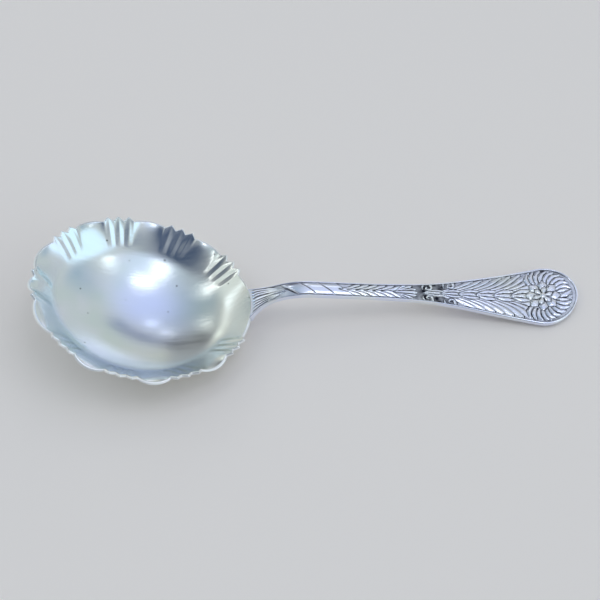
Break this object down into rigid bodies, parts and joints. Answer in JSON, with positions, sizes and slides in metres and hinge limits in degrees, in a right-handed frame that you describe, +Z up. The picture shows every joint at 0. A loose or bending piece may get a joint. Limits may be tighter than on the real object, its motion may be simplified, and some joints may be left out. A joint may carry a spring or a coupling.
{
  "type": "serving spoon",
  "caption": "Silver serving spoon: round bowl with flutes and scallops round its rim, soldered to an arched handle that spreads to a round ornamented end. For serving berries or salad.",
  "frame": {"origin": "middle of the flat under the bowl that the spoon rests on, at table height", "axes": "+X along the handle towards its end, +Y across to the left of someone looking along +X, +Z up"},
  "size_m": [0.2262, 0.0808, 0.0349],
  "materials": {
    "bowl_silver": "satin, worn bright",
    "handle_silver": "satin relief, dark oxide in the recesses",
    "solder_silver": "satin"
  },
  "bodies": {
    "root": {"bowl": "bowl_silver", "handle": "handle_silver", "solder_seam": "solder_silver"}
  },
  "joints": []
}
